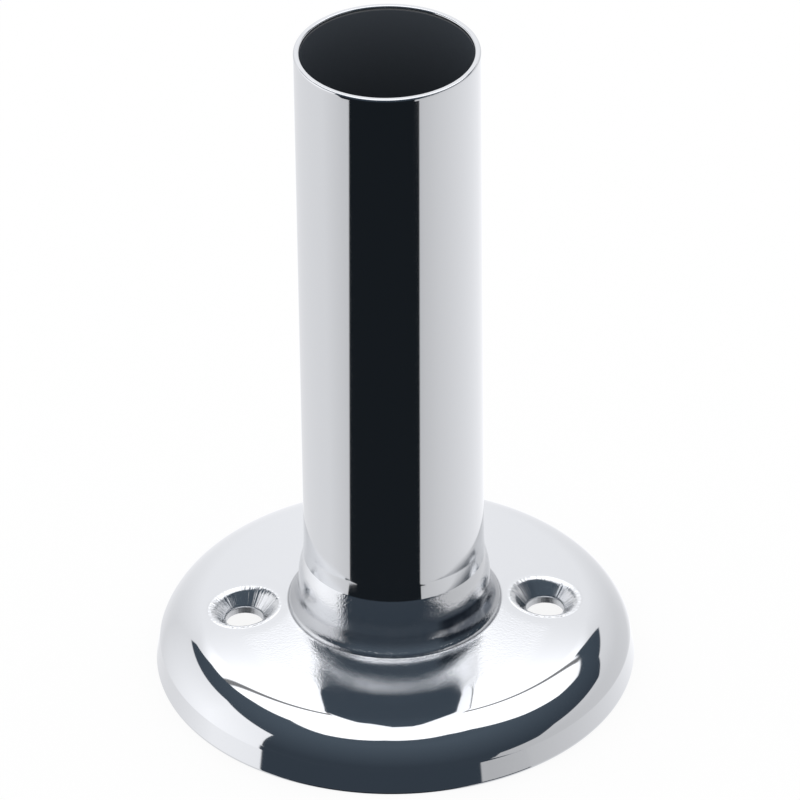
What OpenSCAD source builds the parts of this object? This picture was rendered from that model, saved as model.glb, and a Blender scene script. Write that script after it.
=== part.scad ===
// Curtain rod flange: a domed pressed plate with two countersunk screw holes, and a thin-walled
// socket tube that stands in the plate's drawn neck. Millimetres. The origin is the centre of the
// plate's back face, which lies on the wall, and +Z runs along the tube to its mouth.

/* [Tube] */
// Outside diameter of the tube
tube_d = 28; // [24:0.5:29]
// Wall of the tube
tube_wall = 0.9; // [0.6:0.1:1.5]
// Height of the tube's mouth above the wall
total_h = 110; // [50:1:160]
// Rounding of both edges of the mouth
mouth_edge_r = 0.25; // [0.1:0.05:0.28]
// Length of the lip that is turned out under the plate
foot_lip = 0.8; // [0.4:0.1:0.8]

/* [Plate] */
// Diameter of the plate at its back face
flange_d = 75; // [74:1:95]
// Thickness of the pressed sheet
sheet_t = 1.1; // [0.8:0.1:1.4]
// Height of the rim wall, up to the crease under the shoulder
rim_h = 3.9; // [2.5:0.1:6]
// Lean of the rim wall, in degrees from upright
rim_draft = 10; // [2:1:14]
// Rounding of the rim's outer lower edge
rim_edge_r = 0.4; // [0.2:0.05:0.5]
// Outside radius of the rolled shoulder
shoulder_r = 8.1; // [7:0.1:8.6]
// Slope at which the shoulder meets the rim wall, in degrees
shoulder_end = 70; // [64:1:74]
// Fall of the domed top towards the shoulder, in degrees
dome_slope = 6.2; // [3:0.2:8]

/* [Neck] */
// Height of the neck above the plate at its foot
neck_h = 9; // [9:0.5:16]
// Sheet left in the neck's wall, which the drawing has thinned
neck_wall = 0.9; // [0.7:0.1:1]
// Radius of the neck's crowned upper end
neck_crown_r = 12; // [8:0.5:13]
// Reach of the neck's foot beyond its wall
foot_reach = 1.57; // [1.3:0.01:1.6]
// Most that the foot leans, where its hollow sweep turns into its bead, in degrees from upright
foot_lean = 50; // [46:1:54]
// Radius of that bead, which ends upright on the dome
foot_bead_r = 1.5; // [1:0.1:2]
// Height of the bead's centre above the dome
foot_step = 0.1; // [0.05:0.05:0.3]
// Radius of the turned corner under the foot
under_corner_r = 2.7; // [2.2:0.1:3]

/* [Screw holes] */
// Flat of the dome left between the neck's foot and the lip of each hole
hole_web = 0.8; // [0.6:0.1:1.2]
// Diameter of the screw's clearance hole
hole_d = 5.8; // [4:0.1:6.4]
// Diameter of the countersink where its cone begins under the rounded lip
sink_d = 10; // [8.5:0.1:10.5]
// Included angle of the countersink
sink_angle = 100; // [84:1:110]
// Width of the rounded lip around the countersink
lip_w = 1.2; // [0.8:0.1:1.3]
// Depth from the dome's surface to the lower end of the hole
hole_depth = 3.5; // [3.3:0.1:4.2]
// Wall left around the hole's lower end, where the sheet is drawn thin
throat_wall = 0.9; // [0.6:0.1:1.1]

/* [Fit] */
// Brazed seam between the tube and the plate
seam_gap = 0.03; // [0.01:0.01:0.1]

/* [Hidden] */
$fn = 128;
cut = 1; // how far a cutting shape runs past what it cuts
bite = 0.003; // how far a rounding's arc passes the lines that it joins, so that they cross cleanly
chrome = [0.80, 0.82, 0.85];

tube_r = tube_d / 2;
bore_r = tube_r - tube_wall;
neck_bore_r = tube_r + seam_gap;
neck_r = neck_bore_r + neck_wall;
rim_r = flange_d / 2;

// A unit vector at right angles to a surface that falls outwards at this slope
function normal(slope) = [sin(slope), cos(slope)];

// The shoulder's arc ends at the crease, and every inset surface keeps its centre
crease = [rim_r - rim_h * tan(rim_draft), rim_h];
shoulder_c = crease - shoulder_r * normal(shoulder_end);
function on_shoulder(slope, inset) = shoulder_c + (shoulder_r - inset) * normal(slope);

// Height at a radius of the dome's surface, or of the surface an inset below it
function dome_z(r, inset) =
    let (start = on_shoulder(dome_slope, inset)) start[1] + (start[0] - r) * tan(dome_slope);

// The foot is an S of two arcs: a hollow sweep that leaves the wall upright, and a bead that ends upright
// at foot_x. Where they touch, both lean by foot_lean
foot_x = neck_r + foot_reach;
foot_z = dome_z(foot_x, 0);
sweep_r = foot_reach / (1 - cos(foot_lean)) - foot_bead_r;
bead_c = [foot_x - foot_bead_r, foot_z + foot_step];
sweep_c = bead_c + (foot_bead_r + sweep_r) * [cos(foot_lean), sin(foot_lean)];
sweep_end = bead_c + foot_bead_r * [cos(foot_lean), sin(foot_lean)];
neck_top = foot_z + neck_h;

// The sheet's underside turns into the neck's bore round this corner, and the tube's foot with it
corner_x = neck_bore_r + under_corner_r;
corner_c = [corner_x, dome_z(corner_x, sheet_t) + under_corner_r / cos(dome_slope)];

hole_r = hole_d / 2;
sink_r = sink_d / 2;
hole_x = foot_x + hole_web + lip_w + sink_r;
hole_top = dome_z(hole_x, 0);
sink_slope = 90 - sink_angle / 2;
lip_r = lip_w / sin(sink_slope);
lip_rise = 0.04; // the lip's arc ends this far above the dome, which leaves its rim crisp
lip_drop = lip_r * (1 - cos(sink_slope)) - lip_rise;

// Section of all that lies under the plate's outer surface and above a floor, drawn in by an inset
module under_shell(inset, floor_z) {
    arc_r = shoulder_r - inset;
    wall_x = rim_r - inset / cos(rim_draft);
    lean = tan(rim_draft);
    intersection() {
        polygon([[0, floor_z], [wall_x - floor_z * lean, floor_z], [wall_x - total_h * lean, total_h],
                 [0, total_h]]);
        union() {
            translate([0, floor_z]) square([rim_r, shoulder_c[1] + arc_r * sin(rim_draft) - floor_z]);
            translate(shoulder_c) {
                circle(r = arc_r);
                rotate([0, 0, -dome_slope]) translate([-2 * rim_r, -arc_r]) square([2 * rim_r, 2 * arc_r]);
            }
        }
    }
}

// What is cut from the rim's lower corner to leave its edge round
module rim_corner() {
    centre = [rim_r - rim_edge_r * (tan(rim_draft) + 1 / cos(rim_draft)), rim_edge_r];
    reach = rim_edge_r + cut;
    translate(centre) difference() {
        polygon([[0, 0], [0, -reach], [reach, -reach], [reach, 0], reach * normal(90 - rim_draft)]);
        circle(r = rim_edge_r + bite);
    }
}

// The neck above the sheet: an upright wall with a crowned top, and the foot's sweep and bead
module neck_section() {
    crown_h = sqrt(pow(neck_crown_r, 2) - pow(neck_crown_r - neck_wall, 2));
    base_z = foot_z - sheet_t / 2;
    translate([neck_bore_r, base_z]) square([neck_wall, neck_top - crown_h - base_z]);
    translate([neck_r - neck_crown_r, neck_top - crown_h]) intersection() {
        circle(r = neck_crown_r);
        translate([neck_crown_r - neck_wall, -cut / 2]) square([neck_wall + cut, crown_h + cut]);
    }
    difference() {
        translate([neck_bore_r, base_z]) square([sweep_end[0] - neck_bore_r, sweep_c[1] - base_z]);
        translate(sweep_c) circle(r = sweep_r + bite);
    }
    translate(bead_c) circle(r = foot_bead_r);
    translate([neck_bore_r, base_z]) square([foot_x - neck_bore_r, bead_c[1] - base_z]);
}

// What is cut from under the neck to turn the sheet's underside into the bore
module corner_hollow() {
    reach = under_corner_r + cut;
    translate(corner_c) difference() {
        translate([-reach, -reach]) square(reach);
        rotate([0, 0, -dome_slope]) translate([0, -2 * reach]) square([reach, 2 * reach]);
        circle(r = under_corner_r + bite);
    }
}

module plate_section() {
    difference() {
        union() {
            under_shell(0, 0);
            neck_section();
        }
        under_shell(sheet_t, -cut);
        rim_corner();
        corner_hollow();
        translate([-cut, -cut]) square([neck_bore_r + cut, neck_top + 2 * cut]);
    }
}

// A turned form square to the dome, with its seam across the slope
module square_to_dome() {
    rotate([0, dome_slope, 0]) rotate([0, 0, 90]) rotate_extrude() children();
}

// The countersink's cone, drawn out by a skin, from its top down to its point
module sink_cone(top, skin) {
    top_r = sink_r + skin / sin(sink_slope) + (top + lip_drop) / tan(sink_slope);
    square_to_dome() polygon([[0, top], [top_r, top], [0, top - top_r * tan(sink_slope)]]);
}

// What a screw hole takes out: a rounded lip and a cone square to the dome, over an upright hole
module hole_space() {
    lip_x = sink_r + lip_w;
    translate([0, 0, -hole_depth - cut]) rotate([0, 0, 90]) cylinder(r = hole_r, h = hole_depth + cut);
    intersection() {
        sink_cone(-lip_drop, 0);
        translate([0, 0, -hole_depth]) cylinder(r = sink_r + cut, h = hole_depth + cut);
    }
    square_to_dome() difference() {
        translate([0, -lip_drop]) square([lip_x, lip_drop + cut]);
        translate([lip_x, lip_rise - lip_r]) circle(r = lip_r);
    }
}

// The dimple that a screw hole pushes out under the sheet
module hole_dimple() {
    throat_h = hole_depth - sheet_t;
    translate([0, 0, -hole_depth]) rotate([0, 0, 90]) cylinder(r = hole_r + throat_wall, h = throat_h);
    intersection() {
        sink_cone(-sheet_t / 2, sheet_t);
        translate([0, 0, -hole_depth]) cylinder(r = sink_r + 2 * sheet_t, h = hole_depth + cut);
    }
}

module at_holes() {
    for (turned = [0, 180]) rotate([0, 0, turned]) translate([hole_x, 0, hole_top]) children();
}

module flange_plate() {
    color(chrome) difference() {
        union() {
            rotate([0, 0, 90]) rotate_extrude() plate_section();
            at_holes() hole_dimple();
        }
        at_holes() hole_space();
    }
}

// What lies inside a skin that stands off the plate's turned corner: the straight wall above it,
// the turn round it, and the lip along the sheet's underside
module inside_skin(off) {
    translate(corner_c) {
        translate([-off, 0]) square([off, total_h]);
        intersection() {
            circle(r = off);
            translate([-off, -off]) square([off, 2 * off]);
        }
        rotate([0, 0, -dome_slope]) translate([0, -off]) square([foot_lip, off]);
    }
}

module rod_tube() {
    outer = under_corner_r + seam_gap;
    edge = mouth_edge_r;
    color(chrome) rotate_extrude() {
        difference() {
            inside_skin(outer + tube_wall);
            inside_skin(outer);
            translate([bore_r - cut, total_h - edge]) square([tube_wall + 2 * cut, total_h]);
        }
        translate([bore_r + edge, total_h - 2 * edge]) square([tube_wall - 2 * edge, 2 * edge]);
        for (x = [bore_r + edge, tube_r - edge]) translate([x, total_h - edge]) circle(r = edge);
    }
}

flange_plate();
rod_tube();
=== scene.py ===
"""Looks of a chromed curtain rod flange: the pressed wall plate with its drawn neck and two
countersunk screw holes, the tube that takes the rod's end, and the studio that the chrome mirrors."""

import bpy
import numpy as np
from mathutils import Matrix


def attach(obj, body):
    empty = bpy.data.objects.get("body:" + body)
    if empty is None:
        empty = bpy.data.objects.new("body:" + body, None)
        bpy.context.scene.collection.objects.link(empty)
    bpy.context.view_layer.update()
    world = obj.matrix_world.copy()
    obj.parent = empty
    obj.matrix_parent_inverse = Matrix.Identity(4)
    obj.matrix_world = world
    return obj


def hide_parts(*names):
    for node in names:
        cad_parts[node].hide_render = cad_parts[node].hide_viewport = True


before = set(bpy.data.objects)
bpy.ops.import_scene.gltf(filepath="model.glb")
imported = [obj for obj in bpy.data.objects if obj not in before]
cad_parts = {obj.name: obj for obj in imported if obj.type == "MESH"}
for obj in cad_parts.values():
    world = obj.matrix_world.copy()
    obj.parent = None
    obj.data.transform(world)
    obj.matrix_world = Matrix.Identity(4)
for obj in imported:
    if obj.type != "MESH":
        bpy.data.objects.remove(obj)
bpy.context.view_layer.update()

# Wall plate: one pressing of 1.1 mm steel sheet, polished and bright chromed. Its rim wall leans in to a
# crease, a rolled shoulder runs up to the shallow dome, and the dome's middle is drawn up as a neck round
# the tube. Two countersunk screws hold it, through holes that are pushed through the sheet as dimples.

# Sizes are in millimetres and slopes in radians, and MM turns a size into metres
MM = 0.001
PLATE_R, SHEET = 37.5, 1.1
RIM_H, RIM_LEAN, RIM_EDGE = 3.9, np.radians(10), 0.4
SHOULDER_R, SHOULDER_END, DOME = 8.1, np.radians(70), np.radians(6.2)

# The shoulder draws in by TURN over this many degrees from the dome, so that it turns over more sharply,
# and the rim wall stops this far under the crease, which leaves the crease a little rounded
TURN, TURN_SPAN, CREASE_GAP = 0.02, 40, 0.03

# The neck is upright under a crowned top. Its foot sweeps out to a bead that stands in a fine groove, and
# under the sheet a wider corner turns into the bore
TUBE_R, SEAM, NECK_WALL, NECK_H, CROWN_R = 14.0, 0.03, 0.9, 9.0, 12.0
FOOT_REACH, FOOT_LEAN, FOOT_STEP = 1.57, np.radians(53), 0.1
BEAD_R, GROOVE_R, UNDER_CORNER = 0.7, 0.25, 2.7


def square_to(slope):
    """Unit vector (r, z) square to a face that falls outwards at this slope."""
    return np.array([np.sin(slope), np.cos(slope)])


def down(slope):
    """Unit vector (r, z) that runs outwards down such a face."""
    return np.array([np.cos(slope), -np.sin(slope)])


crease = np.array([PLATE_R - RIM_H * np.tan(RIM_LEAN), RIM_H])
shoulder_c = crease - SHOULDER_R * square_to(SHOULDER_END)
rim_edge_x = PLATE_R - RIM_EDGE * (np.tan(RIM_LEAN) + 1 / np.cos(RIM_LEAN))


def dome_z(r, inset=0.0):
    """Height of the dome at radius r, or of the sheet's face that lies inset below it: a cone of slope
    DOME that starts where the shoulder's arc of radius SHOULDER_R - inset reaches that slope."""
    start = shoulder_c + (SHOULDER_R - inset) * square_to(DOME)
    return start[1] + (start[0] - r) * np.tan(DOME)


neck_bore = TUBE_R + SEAM
neck_r = neck_bore + NECK_WALL
foot_x = neck_r + FOOT_REACH
foot_z = dome_z(foot_x)
neck_top = foot_z + NECK_H
bead_c = np.array([foot_x - BEAD_R, foot_z + FOOT_STEP])
sweep_r = FOOT_REACH / (1 - np.cos(FOOT_LEAN)) - BEAD_R
sweep_c = bead_c + (BEAD_R + sweep_r) * np.array([np.cos(FOOT_LEAN), np.sin(FOOT_LEAN)])
corner_x = neck_bore + UNDER_CORNER
corner_c = np.array([corner_x, dome_z(corner_x, SHEET) + UNDER_CORNER / np.cos(DOME)])


def arc(centre, radius, start, end, n):
    """n + 1 points on a circle: centre + radius (cos a, sin a), with a from start to end in degrees."""
    a = np.radians(np.linspace(start, end, n + 1))
    return np.array(centre) + np.stack([radius * np.cos(a), radius * np.sin(a)], -1)


def crowded(n):
    """n + 1 numbers from 0 to 1 that crowd at both ends, as (1 - cos(pi t)) / 2."""
    return (1 - np.cos(np.pi * np.linspace(0, 1, n + 1))) / 2


def strip(a, b, n):
    """n + 1 points from a to b, crowded at both ends, so that a straight stretch of chrome keeps a
    straight reflection beside a rounding."""
    return np.array(a) + crowded(n)[:, None] * (np.array(b) - np.array(a))


def joined(*parts):
    """One section line from several, without the points where two of them meet twice."""
    line = np.concatenate(parts)
    keep = np.r_[True, np.hypot(*np.diff(line, axis=0).T) > 1e-6]
    return line[keep]


def revolved(line, angles):
    """Grid of points (r cos a, r sin a, z) for each point (r, z) of a section and each angle a."""
    r, z = line[:, 0, None], line[:, 1, None]
    return np.stack([r * np.cos(angles), r * np.sin(angles), z + 0 * angles], -1)


def grid_faces(rows, columns, closed):
    """Corner numbers of the quads of a rows x columns grid, whose last column meets the first if closed."""
    i = np.arange(rows - 1)[:, None] * columns
    j = np.arange(columns if closed else columns - 1)[None]
    k = (j + 1) % columns
    return np.stack([i + j, i + k, i + columns + k, i + columns + j], -1).reshape(-1, 4)


POINTS_PER_MM, SHARP = 1e4, np.radians(24)


def shell(name, grids):
    """One mesh object from several grids of points in millimetres, each given as (points, closed): points
    that agree to a ten-thousandth become one, quads that lose a side are left out, and edges bent by
    more than SHARP stay crisp."""
    points, faces, first = [], [], 0
    for grid, closed in grids:
        points.append(grid.reshape(-1, 3))
        faces.append(first + grid_faces(grid.shape[0], grid.shape[1], closed))
        first += grid.shape[0] * grid.shape[1]
    points, faces = np.concatenate(points), np.concatenate(faces)
    rounded = np.round(points * POINTS_PER_MM).astype(np.int64)
    _, index, inverse = np.unique(rounded, axis=0, return_index=True, return_inverse=True)
    faces = inverse.reshape(-1)[faces]
    faces = faces[(faces != np.roll(faces, 1, axis=1)).all(1)]
    mesh = bpy.data.meshes.new(name)
    mesh.vertices.add(len(index))
    mesh.vertices.foreach_set("co", (points[index] * MM).astype(np.float32).ravel())
    mesh.loops.add(faces.size)
    mesh.loops.foreach_set("vertex_index", faces.ravel().astype(np.int32))
    mesh.polygons.add(len(faces))
    mesh.polygons.foreach_set("loop_start", np.arange(0, faces.size, 4, dtype=np.int32))
    mesh.update(calc_edges=True)
    mesh.validate()
    mesh.shade_smooth()
    mesh.set_sharp_from_angle(angle=SHARP)
    piece = bpy.data.objects.new(name, mesh)
    bpy.context.scene.collection.objects.link(piece)
    return piece


# Rows run round the plate in AROUND steps. Between INNER_R and OUTER_R the dome's rows stop SECTOR steps
# to either side of each hole, and rings fill that sector from its border to the hole
AROUND, DOME_ROWS, SECTOR = 400, 16, 20
INNER_R, OUTER_R = 16.9, 29.9
turn = np.arange(AROUND) * 2 * np.pi / AROUND
dome_rows = np.linspace(OUTER_R, INNER_R, DOME_ROWS + 1)


def outer_line():
    """Section of the outside, from the plate's flat edge on the wall up to the dome's outer row: the
    edge's rounding, the leaning rim wall, and the shoulder, an arc that draws in by TURN sin^2."""
    edge = arc([rim_edge_x, RIM_EDGE], RIM_EDGE, -90, np.degrees(RIM_LEAN), 10)
    slope = np.linspace(np.degrees(SHOULDER_END), np.degrees(DOME), 49)
    part = np.clip((slope - np.degrees(DOME)) / TURN_SPAN, 0, 1)
    radius = SHOULDER_R - TURN * np.sin(np.pi * part) ** 2
    shoulder = shoulder_c + (radius * square_to(np.radians(slope))).T
    z = shoulder[0, 1] - CREASE_GAP
    wall = strip(edge[-1], [PLATE_R - z * np.tan(RIM_LEAN), z], 8)
    return joined(edge, wall, shoulder, [[OUTER_R, dome_z(OUTER_R)]])


def neck_line():
    """Section from the dome's inner row round the groove, over the bead, the hollow sweep, the upright
    wall and the crown, down the bore and round the corner to the inner row under the sheet. The groove's
    circle touches the dome and the bead, so its centre is their radii apart from the bead's."""
    lift = GROOVE_R + BEAD_R * np.sin(DOME) - FOOT_STEP * np.cos(DOME)
    run = np.sqrt((BEAD_R + GROOVE_R) ** 2 - lift ** 2)
    groove_c = bead_c + run * down(DOME) + lift * square_to(DOME)
    touch = np.degrees(np.arctan2(*(groove_c - bead_c)[::-1]))
    slope, lean = np.degrees(DOME), np.degrees(FOOT_LEAN)
    groove = arc(groove_c, GROOVE_R, 270 - slope, 180 + touch, 7)
    bead = arc(bead_c, BEAD_R, touch, lean, 10)
    sweep = arc(sweep_c, sweep_r, 180 + lean, 180, 14)
    tilt = np.arccos((CROWN_R - NECK_WALL) / CROWN_R)
    wall = strip(sweep[-1], [neck_r, neck_top - CROWN_R * np.sin(tilt)], 4)
    crown = arc([neck_r - CROWN_R, wall[-1, 1]], CROWN_R, 0, np.degrees(tilt), 18)
    bore = strip([neck_bore, neck_top], [neck_bore, corner_c[1]], 5)
    corner = arc(corner_c, UNDER_CORNER, 180, 270 - slope, 12)
    foot = strip([INNER_R, dome_z(INNER_R)], groove[0], 2)
    last = [[INNER_R, dome_z(INNER_R, SHEET)]]
    return joined(foot, groove, bead, sweep, wall, crown, bore, corner, last)


def under_line():
    """Section of the underside from its outer row round the shoulder and down the rim wall to the edge."""
    start = [OUTER_R, dome_z(OUTER_R, SHEET)]
    inner = arc(shoulder_c, SHOULDER_R - SHEET, 90 - np.degrees(DOME), np.degrees(RIM_LEAN), 14)
    foot = [PLATE_R - SHEET / np.cos(RIM_LEAN), 0.0]
    return joined([start], inner, strip(inner[-1], foot, 5), strip(foot, [rim_edge_x, 0.0], 2))


# Screw holes: a rounded lip and a cone square to the dome, over an upright throat that is open below. The
# sheet follows them underneath as a dimple, whose foot and the throat's have small chamfers
HOLE_X, HOLE_R, SINK_R, SINK_SLOPE = 23.5, 2.9, 4.4, np.radians(45)
LIP_W, LIP_RISE = 1.8, 0.04
HOLE_DEPTH, THROAT_WALL, THROAT_EDGE = 3.5, 0.9, 0.22
THROAT_CHAMFER, DIMPLE_CHAMFER = 0.08, 0.05
RING_EASE = 0.8

# The hole's own frame: its origin on the dome, its axis square to the dome
along = np.array([np.cos(DOME), 0, -np.sin(DOME)])
across = np.array([0, 1.0, 0])
outward = np.array([np.sin(DOME), 0, np.cos(DOME)])
hole_at = np.array([HOLE_X, 0, dome_z(HOLE_X)])

lip_x = SINK_R + LIP_W
lip_r = LIP_W / np.sin(SINK_SLOPE)
lip_drop = lip_r * (1 - np.cos(SINK_SLOPE)) - LIP_RISE
dimple_r = HOLE_R + THROAT_WALL
skin_top = -SHEET / 2
skin_r = SINK_R + SHEET / np.sin(SINK_SLOPE) + (skin_top + lip_drop) / np.tan(SINK_SLOPE)


def sector_border():
    """The sector's outline in plan, once round against the clock from its outer near corner."""
    half = SECTOR * 2 * np.pi / AROUND
    a = np.linspace(-half, half, 2 * SECTOR + 1)
    outer = np.stack([OUTER_R * np.cos(a), OUTER_R * np.sin(a)], -1)
    far = np.stack([dome_rows * np.cos(half), dome_rows * np.sin(half)], -1)
    inner = np.stack([INNER_R * np.cos(a[::-1]), INNER_R * np.sin(a[::-1])], -1)
    near = np.stack([dome_rows[::-1] * np.cos(half), -dome_rows[::-1] * np.sin(half)], -1)
    return np.concatenate([outer[:-1], far[:-1], inner[:-1], near[:-1]])


border = sector_border()
around_hole = np.arctan2(border[:, 1], (border[:, 0] - HOLE_X) / np.cos(DOME))


def from_hole(rho, alpha, w):
    """Point at distance rho from the hole's axis, at angle alpha, w above the dome."""
    point = hole_at + (rho * np.cos(alpha))[..., None] * along
    point = point + (rho * np.sin(alpha))[..., None] * across
    return point + (w + 0 * rho)[..., None] * outward


def above_sheet(rho, inset):
    """The w at which a point of the hole's frame lies on the dome, or on the face inset below it: found
    by stepping w by the point's height over that face, four times."""
    w = 0 * rho - inset
    for _ in range(4):
        p = from_hole(rho, around_hole, w)
        w = w - (p[..., 2] - dome_z(np.hypot(p[..., 0], p[..., 1]), inset)) * np.cos(DOME)
    return w


def lip_w(rho):
    """Height of the lip over the dome: a circle of radius lip_r whose top, at lip_x, is LIP_RISE high."""
    return LIP_RISE - lip_r + np.sqrt(lip_r ** 2 - (lip_x - rho) ** 2)


def sink_w(rho):
    """Height of the countersink's cone, which starts at SINK_R under the lip."""
    return -lip_drop - (SINK_R - rho) * np.tan(SINK_SLOPE)


def skin_w(rho):
    """Height of the dimple's outside: the same cone, moved out by the sheet's thickness."""
    return skin_top - (skin_r - rho) * np.tan(SINK_SLOPE)


def halved(gap, low, high):
    """For each angle around the hole, the distance between low and high at which the function gap
    changes sign, by halving forty times."""
    low, high = np.full(around_hole.shape, low), np.full(around_hole.shape, high)
    sign = gap(low) > 0
    for _ in range(40):
        mid = (low + high) / 2
        same = (gap(mid) > 0) == sign
        low, high = np.where(same, mid, low), np.where(same, high, mid)
    return (low + high) / 2


def upright_at(height, radius, far):
    """Distance at which each line of a cone, whose height the function gives, meets an upright cylinder
    of this radius around the hole. It lies between six tenths of the radius and far."""
    def outside(rho):
        p = from_hole(rho, around_hole, height(rho)) - hole_at
        return np.hypot(p[..., 0], p[..., 1]) - radius
    return halved(outside, radius * 0.6, far)


def sheet_rings(edge, inset, n):
    """Rings from the sector's border in to the line at distance edge from the hole's axis, blended in
    plan by t^RING_EASE and laid on the dome or on the face inset below it."""
    start = from_hole(edge, around_hole, above_sheet(edge, inset))[:, :2]
    t = (np.linspace(0, 1, n + 1) ** RING_EASE)[:, None, None]
    plan = border + t * (start - border)
    return np.concatenate([plan, dome_z(np.hypot(plan[..., 0], plan[..., 1]), inset)[..., None]], -1)


def cone_rings(start, end, height, n):
    """n + 1 rings at even distances from start to end, at the height that the function gives."""
    rho = start + np.linspace(0, 1, n + 1)[:, None] * (end - start)
    return from_hole(rho, around_hole, height(rho))


def upright_rings(radius, spin, z):
    """Rings (radius cos spin, radius sin spin, z) around the hole's upright axis."""
    return np.stack(np.broadcast_arrays(HOLE_X + radius * np.cos(spin), radius * np.sin(spin), z), -1)


def angle_in_plan(ring):
    """Angle of each point of a ring around the hole's upright axis."""
    return np.arctan2(ring[:, 1], ring[:, 0] - HOLE_X)


def hole_rings():
    """The skin of one hole, from the border on the dome, over the rounded lip, down the cone, its edge
    and the throat, back up outside the throat and the dimple, to the border under the sheet."""
    lip_edge = halved(lambda rho: lip_w(rho) - above_sheet(rho, 0.0), SINK_R, lip_x)
    lip = cone_rings(lip_edge, SINK_R, lip_w, 14)
    sink = cone_rings(SINK_R, upright_at(sink_w, HOLE_R + THROAT_EDGE, SINK_R), sink_w, 12)
    spin, sink_z = angle_in_plan(sink[-1]), sink[-1, :, 2]
    tilt = np.linspace(SINK_SLOPE, np.pi / 2, 6)[1:, None]
    edge_r = THROAT_EDGE / (1 - np.sin(SINK_SLOPE))
    edge_z = sink_z - edge_r * (np.cos(SINK_SLOPE) - np.cos(tilt))
    edge = upright_rings(HOLE_R + edge_r * (1 - np.sin(tilt)), spin, edge_z)
    foot = hole_at[2] - HOLE_DEPTH
    throat_z = edge_z[-1] + crowded(8)[1:, None] * (foot + THROAT_CHAMFER - edge_z[-1])
    throat = upright_rings(HOLE_R, spin, throat_z)
    foot_r = np.array([[HOLE_R + THROAT_CHAMFER], [dimple_r - DIMPLE_CHAMFER], [dimple_r]])
    foot_rings = upright_rings(foot_r, spin, foot + np.array([[0], [0], [DIMPLE_CHAMFER]]))
    skin_edge = halved(lambda rho: skin_w(rho) - above_sheet(rho, SHEET), dimple_r, skin_r)
    dimple = cone_rings(upright_at(skin_w, dimple_r, skin_r), skin_edge, skin_w, 6)
    t = np.linspace(0, 1, 4)[1:-1, None]
    outside_z = foot + DIMPLE_CHAMFER + t * (dimple[0, :, 2] - foot - DIMPLE_CHAMFER)
    outside = upright_rings(dimple_r, angle_in_plan(dimple[0]), outside_z)
    above, below = sheet_rings(lip_edge, 0.0, 10), sheet_rings(skin_edge, SHEET, 8)[::-1]
    return np.concatenate([above, lip[1:], sink[1:], edge, throat, foot_rings, outside, dimple, below[1:]])


HALF_TURN = np.array([-1, -1, 1.0])
between = np.arange(SECTOR, AROUND // 2 - SECTOR + 1) * 2 * np.pi / AROUND
half_dome = revolved(np.stack([dome_rows, dome_z(dome_rows)], -1), between)
half_under = revolved(np.stack([dome_rows[::-1], dome_z(dome_rows[::-1], SHEET)], -1), between)
hole = hole_rings()
turned_lines = [(revolved(line, turn), True) for line in (outer_line(), neck_line(), under_line())]
plate = shell("wall_plate", turned_lines + [
    (half_dome, False), (half_dome * HALF_TURN, False), (half_under, False), (half_under * HALF_TURN, False),
    (hole, True), (hole * HALF_TURN, True)])


class Wire:
    """A socket of a shader tree, or the tree alone. An arithmetic sign on it adds a Math node."""

    def __init__(self, tree, socket=None):
        self.tree, self.socket = tree, socket

    def node(self, kind, settings, inputs, output=0):
        """A node with its settings, whose inputs are values or wires. A ramp's stops are (place, colour)."""
        made = self.tree.nodes.new(kind)
        for name, value in settings.items():
            if name == "stops":
                ramp = made.color_ramp
                for _ in range(len(value) - 2):
                    ramp.elements.new(0.5)
                for element, (place, colour) in zip(ramp.elements, value):
                    element.position = place
                    element.color = (*colour, 1) if np.ndim(colour) else (colour, colour, colour, 1)
            else:
                setattr(made, name, value)
        for name, value in inputs.items():
            if isinstance(value, Wire):
                self.tree.links.new(value.socket, made.inputs[name])
            else:
                made.inputs[name].default_value = value
        return Wire(self.tree, made.outputs[output]) if made.outputs else None

    def math(self, operation, *others):
        """A Math node whose first value is this wire."""
        return self.node("ShaderNodeMath", dict(operation=operation), dict(enumerate((self, *others))))

    def __add__(self, other):
        return self.math("ADD", other)

    def __radd__(self, other):
        return self.math("ADD", other)

    def __sub__(self, other):
        return self.math("SUBTRACT", other)

    def __rsub__(self, other):
        return self.node("ShaderNodeMath", dict(operation="SUBTRACT"), {0: other, 1: self})

    def __mul__(self, other):
        return self.math("MULTIPLY", other)

    def __rmul__(self, other):
        return self.math("MULTIPLY", other)

    def __truediv__(self, other):
        return self.math("DIVIDE", other)

    def __rtruediv__(self, other):
        return self.node("ShaderNodeMath", dict(operation="DIVIDE"), {0: other, 1: self})

    def parts(self):
        """The x, y and z of this vector."""
        split = self.node("ShaderNodeSeparateXYZ", {}, {0: self})
        return [Wire(self.tree, output) for output in split.socket.node.outputs]

    def step(self, low, high):
        """0 below low, 1 above high, and 3t^2 - 2t^3 between them."""
        return self.node("ShaderNodeMapRange", dict(interpolation_type="SMOOTHSTEP"),
                         {0: self, 1: low, 2: high, 3: 0.0, 4: 1.0})

    def band(self, start, full, last, end):
        """1 from full to last, 0 before start and after end, and smooth between them."""
        return self.step(start, full) * (1 - self.step(last, end))

    def noise(self, scale, detail):
        """A Noise texture read at this place."""
        return self.node("ShaderNodeTexNoise", {}, {"Vector": self, "Scale": scale, "Detail": detail})

    def mixed(self, colour, other):
        """The first colour where this wire is 0, and the other where it is 1."""
        return self.node("ShaderNodeMix", dict(data_type="RGBA"), {"Factor": self, 6: colour, 7: other}, 2)


def new_material(name):
    """An empty material and its tree."""
    made = bpy.data.materials.new(name)
    made.use_nodes = True
    made.node_tree.nodes.clear()
    return made, Wire(made.node_tree)


# Chrome's colour and roughness, and the dark colours painted on it: painted shade, and a painted dark
# reflection
CHROME, POLISH = (0.78, 0.79, 0.805, 1), 0.045
PAINTED_SHADE, PAINTED_DARK_REFLECTION = (0.12, 0.13, 0.15, 1), (0.13, 0.15, 0.18, 1)

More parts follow.
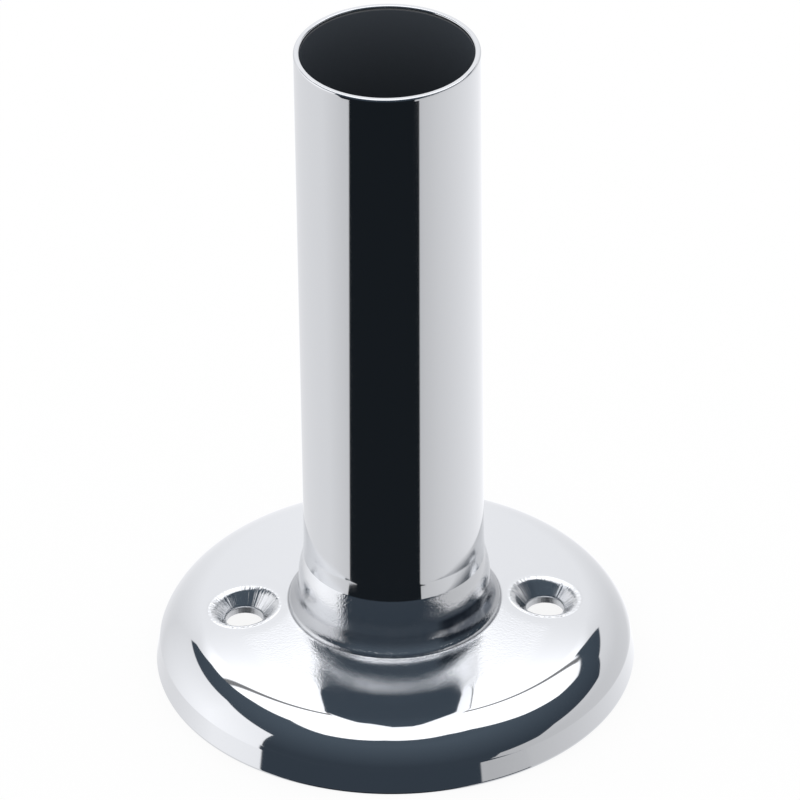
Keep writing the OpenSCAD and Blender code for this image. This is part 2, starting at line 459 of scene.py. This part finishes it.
# Each zone starts, is full, is last full and ends at these distances from the axis, or heights
NECK_ZONE, GROOVE_ZONE = (14.0, 14.2, 16.4, 17.2), (16.45, 16.55, 16.6, 16.9)
STREAK_ZONE, DULL_ZONE = (16.3, 16.5, 16.6, 18.4), (16.3, 16.8, 23.5, 26.5)
# Heights of the painted shade at the neck's foot, and of the painted dark reflection low on the neck's side
PAINTED_SHADE_HEIGHTS, PAINTED_REFLECTION_HEIGHTS = (10.8, 11.4, 12.8, 14.2), (11.5, 12.0, 14.9, 15.6)

# How deep the grain, the brush marks (for each millimetre from the hole's axis) and the dish are
GRAIN_DEPTH, FINE_DEPTH, BRUSH_DEPTH, DISH_DEPTH = 0.026, 0.016, 0.036, 0.036


def plate_chrome():
    """Bright chrome over polished steel. The polishing wheel reaches the neck's foot badly, so grain stays
    there.
    Painted shade darkens the groove and the neck's foot, more towards the sides, and a mottled painted dark
    reflection lies low on the neck's +X side. The dome is dished a little and dulled round the neck, and the
    countersinks keep brush marks that run towards the hole's axis."""
    made, tree = new_material("plate_chrome")
    place = tree.node("ShaderNodeTexCoord", {}, {}, "Object")
    x, y, z = [part * (1 / MM) for part in place.parts()]
    r = (x * x + y * y).math("SQRT")
    around = x.math("ARCTAN2", y * -1)
    beside = x.math("ABSOLUTE") - HOLE_X
    from_axis = (beside * beside + y * y).math("SQRT")
    spoke = tree.node("ShaderNodeCombineXYZ", {}, {0: beside / from_axis, 1: y / from_axis})
    fine, grain, patch = place.noise(5200.0, 2.0), place.noise(2600.0, 2.0), place.noise(420.0, 4.0)
    brushed = spoke.noise(9.0, 4.0)

    neck, groove = r.band(*NECK_ZONE), r.band(*GROOVE_ZONE)
    low = neck * (1 - z.step(12.5, 19.0)) * patch.step(0.35, 0.7)
    streaks = r.band(*STREAK_ZONE) * patch.step(0.42, 0.62)
    dull = r.band(*DULL_ZONE) * from_axis.step(6.2, 8.5)
    in_hole = (1 - from_axis.step(5.2, 6.0)) * r.step(16.5, 17.5)
    throat = in_hole * (1 - z.step(7.2, 7.8))
    rough = POLISH + neck * 0.035 + low * 0.05 + streaks * 0.12 + in_hole * 0.07 + throat * 0.3
    rough = rough + dull * (0.045 + patch * 0.05)

    dished = r.math("SMOOTH_MIN", 28.5, 4.0).math("SMOOTH_MAX", 17.2, 1.2) * DISH_DEPTH
    dish = tree.node("ShaderNodeBump", {}, {"Height": dished, "Strength": 1 - in_hole, "Distance": MM})
    height = (neck + dull * 0.5) * (grain * GRAIN_DEPTH + fine * FINE_DEPTH)
    height = height + in_hole * from_axis * brushed * BRUSH_DEPTH
    bump = tree.node("ShaderNodeBump", {}, {
        "Height": height, "Strength": 1.0, "Distance": MM, "Normal": dish})

    # Painted shade: the groove darkened away from the front, and the neck's foot, darker towards its sides
    painted_shade = groove * (0.35 + patch * 0.4) * (around - 0.05).math("ABSOLUTE").step(0.3, 0.6)
    painted_shade = painted_shade + neck * z.band(*PAINTED_SHADE_HEIGHTS) * (0.05 + 0.4 * around.math("ABSOLUTE").step(0.35, 0.7))
    # Painted dark reflection, mottled by the patch noise, low on the neck's +X side
    painted_reflection = neck * z.band(*PAINTED_REFLECTION_HEIGHTS) * around.band(0.38, 0.52, 1.45, 1.7)
    painted_reflection = painted_reflection * (0.62 + patch.step(0.35, 0.6) * 0.33)
    chrome = tree.node("ShaderNodeBsdfPrincipled", {}, {
        "Base Color": painted_reflection.mixed(painted_shade.mixed(CHROME, PAINTED_SHADE), PAINTED_DARK_REFLECTION),
        "Metallic": 1.0, "Roughness": rough, "Normal": bump})
    tree.node("ShaderNodeOutputMaterial", {}, {0: chrome})
    return made


plate.data.materials.append(plate_chrome())
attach(plate, "root")
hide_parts("flange_plate")

# Rod tube: thin-walled steel tube, polished and chromed outside and left dull inside. It stands in the
# plate's neck, where it is brazed, and its foot is turned out under the sheet. The mouth is open.

TUBE_WALL, TUBE_TOP, MOUTH_EDGE, FOOT_LIP = 0.9, 110.0, 0.25, 0.8

# Over the seam the outside flares: its lean in degrees at these parts of the flare's height. The braze
# fills the seam as an arc that is FILL times as deep as a half circle
FLARE_H, FLARE_AT, FLARE_LEAN, FILL = 2.8, [0, 0.90, 0.94], [3.4, 2.4, 0.0], 0.4


def tube_line():
    """Closed section of the tube: up the outside, over the mouth's two roundings, down the inside, out
    round the foot, and back under the sheet along the slope of the dome. The flare's radius grows by its
    lean summed from the top down."""
    outer, inner = UNDER_CORNER + SEAM, UNDER_CORNER + SEAM + TUBE_WALL
    r_out, r_in, top = corner_x - outer, corner_x - inner, TUBE_TOP - MOUTH_EDGE
    seam_z, slope, lip = neck_top + SEAM, np.degrees(DOME), FOOT_LIP * down(DOME)
    foot_out = arc(corner_c, outer, 270 - slope, 180, 16)
    foot_in = arc(corner_c, inner, 180, 270 - slope, 20)
    t = np.linspace(1, 0, 25)
    lean = np.radians(np.interp(t, FLARE_AT, FLARE_LEAN))
    grown = np.r_[0, np.cumsum((lean[1:] + lean[:-1]) / 2 * -np.diff(t)) * FLARE_H]
    flare = np.stack([r_out + grown, seam_z + FLARE_H * t], -1)[::-1]
    fill = arc([r_out + grown[-1] / 2, seam_z], grown[-1] / 2, -180, 0, 8)
    fill[:, 1] = seam_z - (fill[0, 1] - fill[:, 1]) * FILL
    mouth_out = arc([r_out - MOUTH_EDGE, top], MOUTH_EDGE, 0, 90, 8)
    mouth_in = arc([r_in + MOUTH_EDGE, top], MOUTH_EDGE, 90, 180, 8)
    return joined([foot_out[0] + lip], foot_out, strip([r_out, corner_c[1]], fill[0], 5), fill, flare,
                  strip(flare[-1], [r_out, top], 24), mouth_out, mouth_in,
                  strip([r_in, top], [r_in, corner_c[1]], 24), foot_in,
                  [foot_in[-1] + lip, foot_out[0] + lip])


tube = shell("rod_tube_skin", [(revolved(tube_line(), turn), True)])

# Dull steel of the bore, its colour darkened further as painted shade for the inside of the tube
BORE_STEEL_AND_SHADE = (0.09, 0.105, 0.125, 1)


def tube_chrome():
    """Bright chrome outside, hazier low on its two sides, and inside the bore the dark, slightly grainy
    steel that plating reaches only thinly: dull steel in part, and in part painted shade, as its colour is
    darker than steel to stand in for the shade inside the tube."""
    made, tree = new_material("tube_chrome")
    place = tree.node("ShaderNodeTexCoord", {}, {}, "Object")
    x, y, z = [part * (1 / MM) for part in place.parts()]
    r = (x * x + y * y).math("SQRT")
    inside = (1 - r.step(13.12, 13.18)) * (1 - z.step(109.2, 109.7))
    hazy = (x / r).math("ABSOLUTE").step(0.55, 0.7) * (1 - z.step(22.5, 26.5))
    chrome = tree.node("ShaderNodeBsdfPrincipled", {}, {
        "Base Color": inside.mixed(CHROME, BORE_STEEL_AND_SHADE), "Metallic": 1 - inside * 0.8,
        "Roughness": POLISH + inside * (0.40 + place.noise(2400.0, 2.0) * 0.2) + hazy * 0.09})
    tree.node("ShaderNodeOutputMaterial", {}, {0: chrome})
    return made


tube.data.materials.append(tube_chrome())
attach(tube, "root")
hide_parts("rod_tube")

# Studio: a white tent that opens towards the camera. The chrome mirrors it, so the tent's walls, its
# white top and the dark opening are drawn by direction, with azimuth 0 towards the camera's side and
# +90 towards +X. The part stands on a plain white table.

# The dark opening's outline in degrees. Above the table, its upper and lower borders are (azimuth, height).
# Lower down, its left and right borders are (height, azimuth)
ROOF_EDGE = [(-180, 10), (-150, 25), (-145, 42), (-125, 56), (-105, 65), (-65, 67), (-15, 75), (55, 74),
             (75, 70), (90, 55), (105, 45), (120, 40), (152, 43), (156, 32), (180, 10)]
FOOT_EDGE = [(-180, 60), (-150, 40), (-145, 30), (-105, 39), (-66, 33), (-64.5, 4), (42, 4), (45, 9), (65, 9),
             (75, 14), (110, 15), (125, 27), (145, 30), (158, 50), (180, 60)]
LEFT_EDGE = [(-36, -63), (-31, -49), (-30.8, -60), (-26, -66), (12, -65)]
RIGHT_EDGE = [(-36, 30), (-31, 38), (-30.8, 31), (-27, 31), (-25.5, 62), (-20, 60), (2, 40), (12, 44)]
SOFT_EDGE = 0.6

# How pale the tent is at an azimuth: near the table, where it is evenly grey, and on its walls, of which
# the left one is lit and the right one lies in shade. Higher up the walls even out
TABLE_TONES = [(-180, 240), (-165, 215), (-90, 210), (-60, 195), (30, 185), (60, 200), (180, 240)]
WALL_TONES = [(-180, 235), (-145, 210), (-95, 250), (-60, 235), (40, 175), (100, 195), (145, 205), (180, 235)]
EVEN_TONE, EVENING, CEILING = 0.8, 0.4, 1.25
COOL_WHITE = (0.985, 0.99, 1.015, 1)

# The dark room beyond the opening: black at the floor, slate above it, a little paler towards its ceiling
BLACK, SLATE, HAZE = (22, 26, 30), (49, 57, 66), (70, 80, 90)
DARK = [(-27.5, BLACK), (-25, SLATE), (14, SLATE), (60, HAZE)]

# A bright lath as thin as a line stands in the opening right of LATH_FROM, at this height there, and falls
# to the right. A dark seam crosses the tent's top, straight in plan at SEAM_BACK
LATH_FROM, LATH_HEIGHT, LATH_FALL = 36, -17.8, 0.066
SEAM_BACK, SEAM_SKEW, SEAM_DEPTH = 0.76, 0.15, 0.85

# The tent is as bright as makes chrome of colour CHROME show white, and the table's own light is softer
CHROME_WHITE, TABLE_LIGHT = 0.79, 0.85


def linear(value):
    """Light that shows as this 8-bit tone."""
    c = np.asarray(value, float) / 255
    return np.where(c > 0.04045, ((c + 0.055) / 1.055) ** 2.4, c / 12.92)


def along_stops(where, low, high, stops):
    """A value or colour that goes from stop to stop, each (place, value), between low and high."""
    listed = [((place - low) / (high - low), value) for place, value in stops]
    return where.node("ShaderNodeValToRGB", dict(stops=listed), {0: (where - low) / (high - low)})


def tone_along(where, low, high, stops):
    """The light of 8-bit tones that are given as stops."""
    return along_stops(where, low, high, [(place, linear(tone)) for place, tone in stops])


def angle_along(where, low, high, stops):
    """An angle that is given as stops in degrees, which the ramp holds as a part of the whole turn."""
    return along_stops(where, low, high, [(place, (angle + 180) / 360) for place, angle in stops]) * 360 - 180


def studio_light():
    """The world: white to the camera, an even soft white that lights the table, and the tent to
    whatever mirrors it."""
    world = bpy.data.worlds.new("studio")
    bpy.context.scene.world = world
    world.use_nodes = True
    world.node_tree.nodes.clear()
    tree = Wire(world.node_tree)
    x, y, z = tree.node("ShaderNodeTexCoord", {}, {}, "Generated").parts()
    azimuth = x.math("ARCTAN2", y * -1) * (180 / np.pi)
    height = z.math("ARCSINE") * (180 / np.pi)

    def past(edge):
        """1 where the wire is above 0, with a soft edge."""
        return edge.step(-SOFT_EDGE, SOFT_EDGE)

    upper = past(angle_along(azimuth, -180, 180, ROOF_EDGE) - height)
    upper = upper * past(height - angle_along(azimuth, -180, 180, FOOT_EDGE))
    lower = past(azimuth - angle_along(height, -36, 12, LEFT_EDGE))
    lower = lower * past(angle_along(height, -36, 12, RIGHT_EDGE) - azimuth) * (1 - height.step(4, 8))
    lath = height - LATH_HEIGHT + (azimuth - LATH_FROM) * LATH_FALL
    lath = (1 - lath.math("ABSOLUTE").step(0.5, 0.9)) * azimuth.step(LATH_FROM - 0.5, LATH_FROM + 0.5)
    opening = upper.math("MAXIMUM", lower * (1 - lath))

    low = tone_along(azimuth, -180, 180, TABLE_TONES)
    wall = low + height.step(-33, -15) * (tone_along(azimuth, -180, 180, WALL_TONES) - low)
    wall = wall + height.step(2, 36) * EVENING * (EVEN_TONE - wall)
    wall = wall + height.step(36, 46) * (CEILING - wall)
    aside, back = x / z, y / z
    seam = 1 - (back - aside * SEAM_SKEW - SEAM_BACK).math("ABSOLUTE").step(0.03, 0.07)
    seam = seam * z.step(0.4, 0.5) * (1 - aside.math("ABSOLUTE").step(0.66, 0.78))
    wall = wall * (1 - seam * SEAM_DEPTH)
    pale = tree.node("ShaderNodeMix", dict(data_type="RGBA", blend_type="MULTIPLY"), {
        "Factor": 1.0, 6: wall, 7: COOL_WHITE}, 2)
    tent = opening.mixed(pale, tone_along(height, -40, 80, DARK))

    soft = tree.node("ShaderNodeBackground", {}, {0: (1, 1, 1, 1), 1: TABLE_LIGHT})
    mirrored = tree.node("ShaderNodeBackground", {}, {0: tent, 1: 1 / CHROME_WHITE})
    white = tree.node("ShaderNodeBackground", {}, {0: (1, 1, 1, 1), 1: 1.0})
    to_camera = tree.node("ShaderNodeLightPath", {}, {}, "Is Camera Ray")
    to_gloss = tree.node("ShaderNodeLightPath", {}, {}, "Is Glossy Ray")
    lit = tree.node("ShaderNodeMixShader", {}, {0: to_gloss, 1: soft, 2: mirrored})
    seen = tree.node("ShaderNodeMixShader", {}, {0: to_camera, 1: lit, 2: white})
    tree.node("ShaderNodeOutputWorld", {}, {0: seen})


studio_light()

# The table is a square of this half width in metres, a hair under the part. Its matt part takes the
# shadow, and its glow keeps it pale
TABLE_HALF, TABLE_DROP, TABLE_MATT, TABLE_GLOW = 6.0, 0.05 * MM, (0.13, 0.13, 0.13, 1), 0.89


def table_white():
    """White that keeps only a small part of a shadow's depth, so that the part stands in a pale
    surround."""
    made, tree = new_material("table_white")
    matt = tree.node("ShaderNodeBsdfDiffuse", {}, {0: TABLE_MATT})
    glow = tree.node("ShaderNodeEmission", {}, {0: (1, 1, 1, 1), 1: TABLE_GLOW})
    both = tree.node("ShaderNodeAddShader", {}, {0: matt, 1: glow})
    tree.node("ShaderNodeOutputMaterial", {}, {0: both})
    return made


table_mesh = bpy.data.meshes.new("table")
table_corners = [(x * TABLE_HALF, y * TABLE_HALF, -TABLE_DROP)
                 for x, y in ((-1, -1), (1, -1), (1, 1), (-1, 1))]
table_mesh.from_pydata(table_corners, [], [(0, 1, 2, 3)])
table_mesh.materials.append(table_white())
table = bpy.data.objects.new("table", table_mesh)
bpy.context.scene.collection.objects.link(table)
table.visible_glossy = False

# Camera: a long lens that looks down on the part, level with its axis apart from a slight roll. EYE is in
# millimetres, and the lens is given by its focal length in pixels of the square picture.

EYE = (-32.24, -932.38, 673.04)
LOOK_TURN, LOOK_DOWN, LOOK_ROLL = np.radians([2.057, 33.838, -0.762])
FOCAL_PX, PICTURE_PX, SENSOR = 7326.5, 800, 36.0

ahead = np.array([np.sin(LOOK_TURN), np.cos(LOOK_TURN), 0])
look = np.cos(LOOK_DOWN) * ahead - np.sin(LOOK_DOWN) * np.array([0, 0, 1])
level = np.array([np.cos(LOOK_TURN), -np.sin(LOOK_TURN), 0])
upright = np.cross(level, look)
side = np.cos(LOOK_ROLL) * level + np.sin(LOOK_ROLL) * upright
up = np.cos(LOOK_ROLL) * upright - np.sin(LOOK_ROLL) * level
pose = np.eye(4)
pose[:3, :3] = np.stack([side, up, -look], 1)
pose[:3, 3] = np.array(EYE) * MM
camera_data = bpy.data.cameras.new("camera")
camera_data.sensor_width = SENSOR
camera_data.lens = FOCAL_PX / PICTURE_PX * SENSOR
camera_data.clip_start, camera_data.clip_end = 0.01, 50.0
camera = bpy.data.objects.new("camera", camera_data)
bpy.context.scene.collection.objects.link(camera)
camera.matrix_world = Matrix(pose.tolist())
bpy.context.scene.camera = camera
bpy.context.scene.view_settings.view_transform = "Standard"

bpy.context.view_layer.update()
